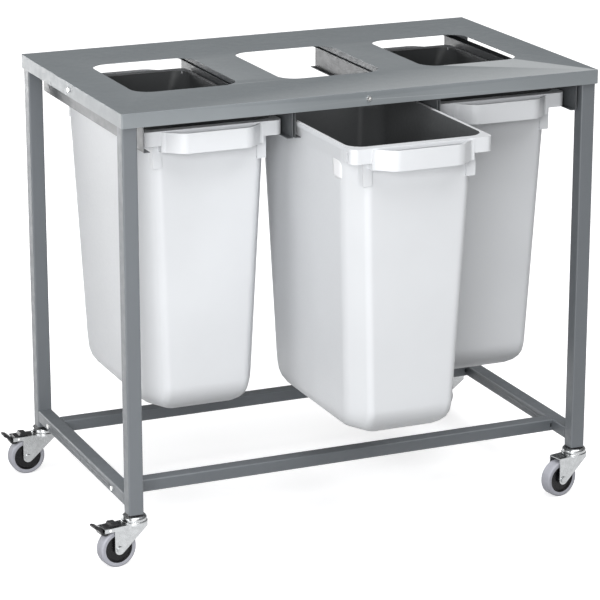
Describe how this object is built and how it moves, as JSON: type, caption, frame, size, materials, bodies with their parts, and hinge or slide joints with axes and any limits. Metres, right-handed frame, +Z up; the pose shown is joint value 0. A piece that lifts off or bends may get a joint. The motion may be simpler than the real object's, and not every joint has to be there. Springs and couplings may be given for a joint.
{
  "type": "recycling bin station",
  "caption": "Wheeled tube-frame stand with a steel tray, cut-outs over lift-out sorting bins that slide on sheet rails, and swivel castors with foot brakes.",
  "frame": {"origin": "on the floor under the middle of the tray", "axes": "+X to the right along the tray's length, +Y from the front to the rear, +Z up"},
  "size_m": [1.0825, 0.874, 0.892],
  "materials": {
    "tray_paint": "satin",
    "frame_paint": "satin",
    "rail_paint": "satin",
    "bin_plastic": "matt",
    "tyre_rubber": "matt",
    "hub_plastic": "satin",
    "black_plastic": "satin",
    "zinc_steel": "bright zinc",
    "screw_zinc": "bright zinc"
  },
  "bodies": {
    "frame": {"bearer_left": "frame_paint", "bearer_right": "frame_paint", "bin_rail_left_left": "rail_paint", "bin_rail_left_right": "rail_paint", "bin_rail_middle_left": "rail_paint", "bin_rail_middle_right": "rail_paint", "bin_rail_right_left": "rail_paint", "bin_rail_right_right": "rail_paint", "castor_head_front_left": "zinc_steel", "castor_head_front_right": "zinc_steel", "castor_head_rear_left": "zinc_steel", "castor_head_rear_right": "zinc_steel", "leg_front_left": "frame_paint", "leg_front_right": "frame_paint", "leg_inserts": "black_plastic", "leg_rear_left": "frame_paint", "leg_rear_right": "frame_paint", "rail_screws": "screw_zinc", "side_rail_left": "frame_paint", "side_rail_right": "frame_paint", "stretcher_end_plugs": "black_plastic", "stretcher_front": "frame_paint", "stretcher_rear": "frame_paint", "stretcher_screws": "screw_zinc", "top_tube_front": "frame_paint", "top_tube_left": "frame_paint", "top_tube_rear": "frame_paint", "top_tube_right": "frame_paint", "tray_rivet_nuts": "screw_zinc", "tray_screws": "screw_zinc", "tray_top": "tray_paint"},
    "bin_left_body": {"bin_left": "bin_plastic"},
    "bin_middle_body": {"bin_middle": "bin_plastic"},
    "bin_right_body": {"bin_right": "bin_plastic"},
    "fork_front_left": {"castor_fork_front_left": "zinc_steel", "castor_axle_front_left": "zinc_steel", "brake_pin_front_left": "screw_zinc"},
    "wheel_front_left": {"wheel_hub_front_left": "hub_plastic", "wheel_tread_front_left": "tyre_rubber"},
    "pedal_front_left": {"brake_pedal_front_left": "black_plastic"},
    "fork_front_right": {"castor_fork_front_right": "zinc_steel", "castor_axle_front_right": "zinc_steel"},
    "wheel_front_right": {"wheel_hub_front_right": "hub_plastic", "wheel_tread_front_right": "tyre_rubber"},
    "fork_rear_left": {"castor_fork_rear_left": "zinc_steel", "castor_axle_rear_left": "zinc_steel", "brake_pin_rear_left": "screw_zinc"},
    "wheel_rear_left": {"wheel_hub_rear_left": "hub_plastic", "wheel_tread_rear_left": "tyre_rubber"},
    "pedal_rear_left": {"brake_pedal_rear_left": "black_plastic"},
    "fork_rear_right": {"castor_fork_rear_right": "zinc_steel", "castor_axle_rear_right": "zinc_steel"},
    "wheel_rear_right": {"wheel_hub_rear_right": "hub_plastic", "wheel_tread_rear_right": "tyre_rubber"}
  },
  "joints": [
    {"name": "bin_left_slide", "type": "slide", "parent": "frame", "child": "bin_left_body", "axis": [0, -1, 0], "range_m": [0, 0.45]},
    {"name": "bin_middle_slide", "type": "slide", "parent": "frame", "child": "bin_middle_body", "axis": [0, -1, 0], "range_m": [-0.28, 0.17]},
    {"name": "bin_right_slide", "type": "slide", "parent": "frame", "child": "bin_right_body", "axis": [0, -1, 0], "range_m": [0, 0.45]},
    {"name": "castor_front_left_swivel", "type": "hinge", "parent": "frame", "child": "fork_front_left", "pos_m": [-0.4825, -0.2785, 0.09], "axis": [0, 0, 1], "continuous": true},
    {"name": "wheel_front_left_spin", "type": "hinge", "parent": "fork_front_left", "child": "wheel_front_left", "pos_m": [-0.52211, -0.28407, 0.0375], "axis": [0.1392, -0.9903, 0], "continuous": true},
    {"name": "brake_front_left_pedal", "type": "hinge", "parent": "fork_front_left", "child": "pedal_front_left", "pos_m": [-0.54192, -0.28685, 0.08], "axis": [0.1392, -0.9903, 0], "range_deg": [0, 10]},
    {"name": "castor_front_right_swivel", "type": "hinge", "parent": "frame", "child": "fork_front_right", "pos_m": [0.4825, -0.2785, 0.09], "axis": [0, 0, 1], "continuous": true},
    {"name": "wheel_front_right_spin", "type": "hinge", "parent": "fork_front_right", "child": "wheel_front_right", "pos_m": [0.44337, -0.28682, 0.0375], "axis": [0.2079, -0.9781, 0], "continuous": true},
    {"name": "castor_rear_left_swivel", "type": "hinge", "parent": "frame", "child": "fork_rear_left", "pos_m": [-0.4825, 0.2785, 0.09], "axis": [0, 0, 1], "continuous": true},
    {"name": "wheel_rear_left_spin", "type": "hinge", "parent": "fork_rear_left", "child": "wheel_rear_left", "pos_m": [-0.5225, 0.2785, 0.0375], "axis": [0, -1, 0], "continuous": true},
    {"name": "brake_rear_left_pedal", "type": "hinge", "parent": "fork_rear_left", "child": "pedal_rear_left", "pos_m": [-0.5425, 0.2785, 0.08], "axis": [0, -1, 0], "range_deg": [0, 10]},
    {"name": "castor_rear_right_swivel", "type": "hinge", "parent": "frame", "child": "fork_rear_right", "pos_m": [0.4825, 0.2785, 0.09], "axis": [0, 0, 1], "continuous": true},
    {"name": "wheel_rear_right_spin", "type": "hinge", "parent": "fork_rear_right", "child": "wheel_rear_right", "pos_m": [0.44311, 0.28545, 0.0375], "axis": [-0.1736, -0.9848, 0], "continuous": true}
  ]
}
